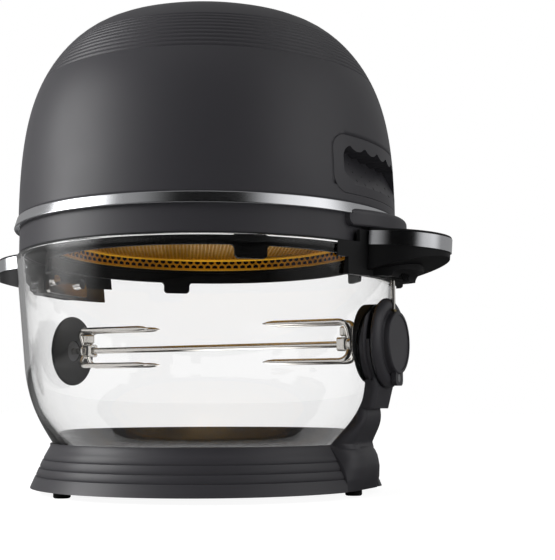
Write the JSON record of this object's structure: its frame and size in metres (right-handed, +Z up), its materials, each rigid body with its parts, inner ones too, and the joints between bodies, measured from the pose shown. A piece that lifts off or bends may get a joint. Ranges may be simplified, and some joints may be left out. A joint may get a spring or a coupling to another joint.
{
  "type": "rotisserie oven",
  "caption": "Countertop rotisserie oven: a glass bowl with two handles and a driven spit on a base ring with one arm, under a lift-off domed head with heater and fan.",
  "frame": {"origin": "bottom centre of the oven's box, on the surface it stands on", "axes": "+Z up, X along the spit and the handles with the driven end at +X, the front towards -Y"},
  "size_m": [0.381, 0.291, 0.3516],
  "materials": {
    "charcoal_plastic": "satin moulded",
    "black_plastic": "satin moulded",
    "gear_plastic": "moulded acetal",
    "gloss_panel": "polished",
    "circuit_board": "laminate",
    "rubber": "matt",
    "silicone": "matt silicone",
    "glass": "clear pressed borosilicate",
    "steel": "zinc plated",
    "zinc_steel": "galvanised sheet",
    "stainless": "polished stainless",
    "chrome": "satin chrome",
    "chrome_bolts": "polished",
    "brass": "turned",
    "enamel": "black enamel",
    "gold_mesh": "gold non-stick coating",
    "element_steel": "oxidised tube",
    "aluminium": "stamped sheet"
  },
  "bodies": {
    "base": {"base_ring": "charcoal_plastic", "arm_support": "charcoal_plastic", "base_plate": "black_plastic", "base_screws": "steel", "rubber_feet": "rubber", "bowl_seat_ring": "silicone"},
    "bowl": {"glass_bowl": "glass", "hub_inner_flange": "black_plastic", "hub_gaskets": "silicone", "hub_housing": "charcoal_plastic", "gear_cap": "charcoal_plastic", "cap_screw": "steel", "rod_bushing": "brass", "idle_flange": "black_plastic", "idle_cap": "charcoal_plastic", "handle_bracket_right": "black_plastic", "handle_bracket_left": "black_plastic", "handle_grip_right": "black_plastic", "handle_grip_left": "black_plastic", "handle_trim_right": "chrome", "handle_trim_left": "chrome", "handle_top_right": "black_plastic", "handle_top_left": "black_plastic", "inner_strap_right": "stainless", "inner_strap_left": "stainless", "handle_bolts": "chrome_bolts", "handle_gaskets": "silicone"},
    "head": {"bowl_seal": "silicone", "collar": "charcoal_plastic", "drive_cover": "charcoal_plastic", "head_screws": "steel", "chrome_band": "chrome", "dome_shell": "charcoal_plastic", "grip_panel_right": "charcoal_plastic", "grip_panel_left": "charcoal_plastic", "touch_panel": "gloss_panel", "control_board": "circuit_board", "exhaust_grille": "black_plastic", "power_inlet": "black_plastic", "inner_skirt": "enamel", "chassis_plate": "zinc_steel", "mesh_guard": "gold_mesh", "reflector_pan": "zinc_steel", "heating_element": "element_steel", "fan_motor": "zinc_steel", "motor_bracket": "zinc_steel", "spit_gearmotor": "zinc_steel"},
    "fan": {"convection_fan": "aluminium", "fan_shaft": "steel", "cooling_fan": "black_plastic"},
    "motor_output": {"output_coupling": "gear_plastic"},
    "drive_rod": {"drive_rod": "stainless", "rod_coupling": "gear_plastic", "pinion": "gear_plastic"},
    "spit": {"spit_shaft": "stainless", "crown_gear": "gear_plastic"},
    "fork_right": {"spit_fork_right": "stainless"},
    "fork_left": {"spit_fork_left": "stainless"},
    "screw_right": {"thumb_screw_right": "stainless"},
    "screw_left": {"thumb_screw_left": "stainless"}
  },
  "joints": [
    {"name": "bowl_lift", "type": "slide", "parent": "base", "child": "bowl", "axis": [0, 0, 1], "range_m": [0, 0.15]},
    {"name": "head_lift", "type": "slide", "parent": "bowl", "child": "head", "axis": [0, 0, 1], "range_m": [0, 0.2]},
    {"name": "spit_spin", "type": "hinge", "parent": "bowl", "child": "spit", "pos_m": [0, 0, 0.1065], "axis": [1, 0, 0], "continuous": true},
    {"name": "rod_spin", "type": "hinge", "parent": "bowl", "child": "drive_rod", "pos_m": [0.1482, 0, 0.15], "axis": [0, 0, 1], "continuous": true},
    {"name": "motor_output_spin", "type": "hinge", "parent": "head", "child": "motor_output", "pos_m": [0.1482, 0, 0.185], "axis": [0, 0, 1], "continuous": true},
    {"name": "fan_spin", "type": "hinge", "parent": "head", "child": "fan", "pos_m": [0, 0, 0.2], "axis": [0, 0, 1], "continuous": true},
    {"name": "fork_right_slide", "type": "slide", "parent": "spit", "child": "fork_right", "axis": [1, 0, 0], "range_m": [-0.04, 0.006]},
    {"name": "fork_left_slide", "type": "slide", "parent": "spit", "child": "fork_left", "axis": [1, 0, 0], "range_m": [-0.006, 0.04]},
    {"name": "screw_right_turn", "type": "hinge", "parent": "fork_right", "child": "screw_right", "pos_m": [0.1125, 0, 0.115], "axis": [0, 0, 1], "range_deg": [0, 360]},
    {"name": "screw_left_turn", "type": "hinge", "parent": "fork_left", "child": "screw_left", "pos_m": [-0.1105, 0, 0.115], "axis": [0, 0, 1], "range_deg": [0, 360]}
  ],
  "couplings": [
    {"joint": "rod_spin", "follows": "spit_spin", "ratio": 6},
    {"joint": "motor_output_spin", "follows": "spit_spin", "ratio": 6}
  ]
}
